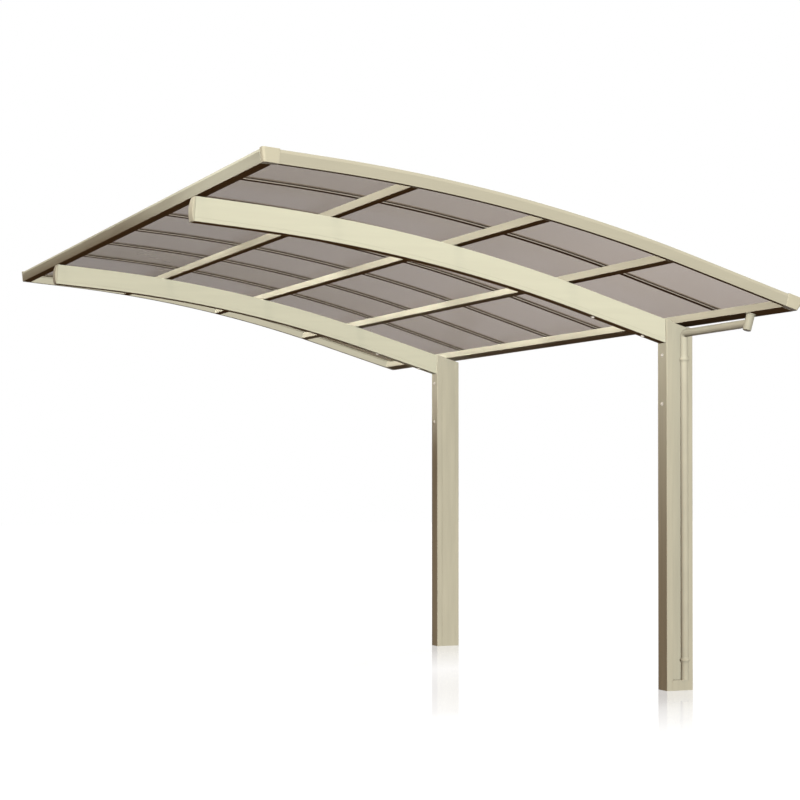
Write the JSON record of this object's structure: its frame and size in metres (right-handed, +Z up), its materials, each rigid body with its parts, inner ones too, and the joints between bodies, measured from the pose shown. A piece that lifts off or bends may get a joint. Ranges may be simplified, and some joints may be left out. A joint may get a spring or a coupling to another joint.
{
  "type": "cantilever carport",
  "caption": "Open cantilever carport: posts along one side carry curved beams under a bowed roof of smoke plastic strips in a champagne frame, with gutter and downpipe",
  "frame": {"origin": "centre of the foot of the front post, on the ground", "axes": "X across the roof towards the post side, Y along the roof from front to rear, Z up"},
  "size_m": [2.7785, 5.019, 2.5313],
  "materials": {
    "champagne_aluminium": "satin champagne coated extrusion",
    "smoke_polycarbonate": "smoke-tinted clear sheet",
    "drain_plastic": "smooth beige pipe",
    "cap_plastic": "satin moulded beige cap",
    "seal_rubber": "matt black glazing seal",
    "bolt_steel": "bright zinc-plated fastener"
  },
  "bodies": {
    "root": {"cross_pipe": "drain_plastic", "downpipe": "drain_plastic", "drain_elbow": "drain_plastic", "front_beam": "champagne_aluminium", "front_beam_cap": "cap_plastic", "front_eave_corner": "cap_plastic", "front_high_corner": "cap_plastic", "front_post": "champagne_aluminium", "front_post_cap": "champagne_aluminium", "front_post_sill": "champagne_aluminium", "front_side_frame": "champagne_aluminium", "glazing_bar_1": "champagne_aluminium", "glazing_bar_2": "champagne_aluminium", "glazing_bar_3": "champagne_aluminium", "glazing_bar_4": "champagne_aluminium", "glazing_bar_5": "champagne_aluminium", "glazing_bar_6": "champagne_aluminium", "glazing_bar_7": "champagne_aluminium", "gutter": "champagne_aluminium", "gutter_outlet": "drain_plastic", "high_edge_frame": "champagne_aluminium", "lower_pipe_collar": "drain_plastic", "purlin_1": "champagne_aluminium", "purlin_2": "champagne_aluminium", "purlin_3": "champagne_aluminium", "rear_beam": "champagne_aluminium", "rear_beam_cap": "cap_plastic", "rear_eave_corner": "cap_plastic", "rear_high_corner": "cap_plastic", "rear_post": "champagne_aluminium", "rear_post_cap": "champagne_aluminium", "rear_post_sill": "champagne_aluminium", "rear_side_frame": "champagne_aluminium", "roof_panel_1": "smoke_polycarbonate", "roof_panel_2": "smoke_polycarbonate", "roof_panel_3": "smoke_polycarbonate", "roof_panel_4": "smoke_polycarbonate", "roof_panel_5": "smoke_polycarbonate", "roof_panel_6": "smoke_polycarbonate", "roof_panel_7": "smoke_polycarbonate", "roof_panel_8": "smoke_polycarbonate", "upper_pipe_collar": "drain_plastic"}
  },
  "joints": []
}
